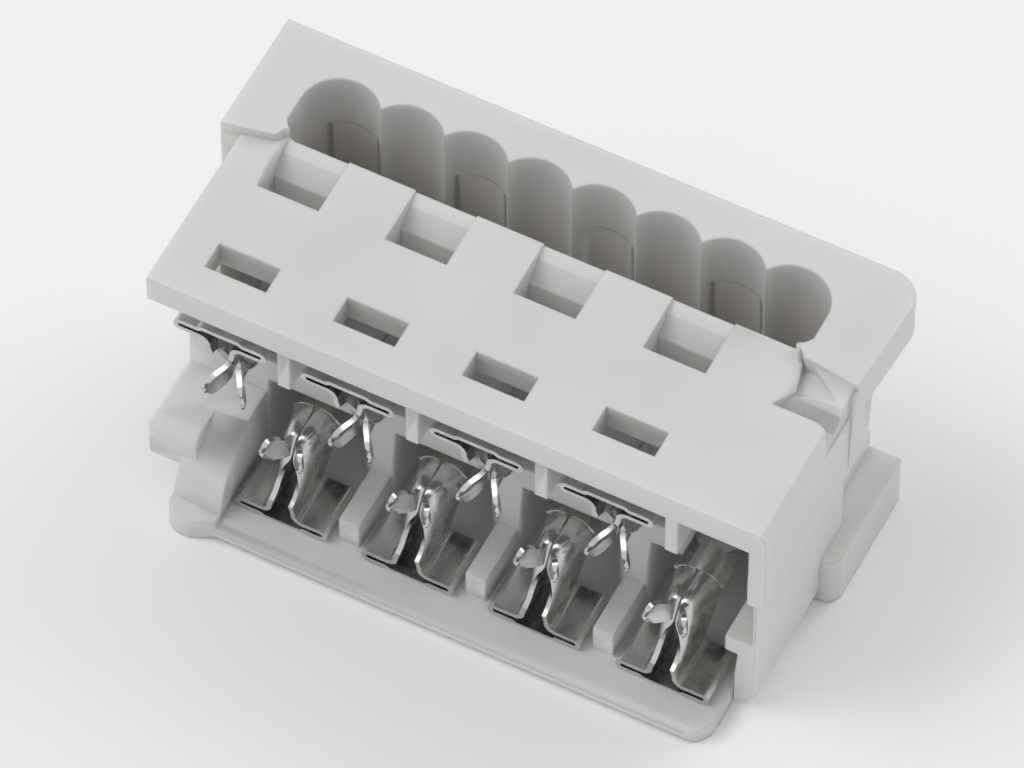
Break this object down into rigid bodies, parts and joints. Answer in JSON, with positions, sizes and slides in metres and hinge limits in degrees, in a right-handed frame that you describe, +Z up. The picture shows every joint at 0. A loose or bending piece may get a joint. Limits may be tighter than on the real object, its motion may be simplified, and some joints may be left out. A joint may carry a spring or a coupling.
{
  "type": "wire to board connector housing",
  "caption": "Ribbon cable connector: scalloped cable passage behind a windowed top wall, staggered rows of stamped twin-blade contacts in an open mouth.",
  "frame": {"origin": "on the underside, at the middle of the row of cable cores, level with the front edge of the top wall", "axes": "+X along the contact rows, +Y from the mating mouth back to the cable passage, +Z up out of the windowed top wall"},
  "size_m": [0.0127, 0.007, 0.0062],
  "materials": {
    "housing_plastic": "natural moulded, slightly translucent",
    "contact_tin": "bright tin plate over a copper alloy"
  },
  "bodies": {
    "root": {"housing": "housing_plastic", "contact_upper_1": "contact_tin", "contact_upper_2": "contact_tin", "contact_upper_3": "contact_tin", "contact_upper_4": "contact_tin", "contact_lower_1": "contact_tin", "contact_lower_2": "contact_tin", "contact_lower_3": "contact_tin", "contact_lower_4": "contact_tin"}
  },
  "joints": []
}
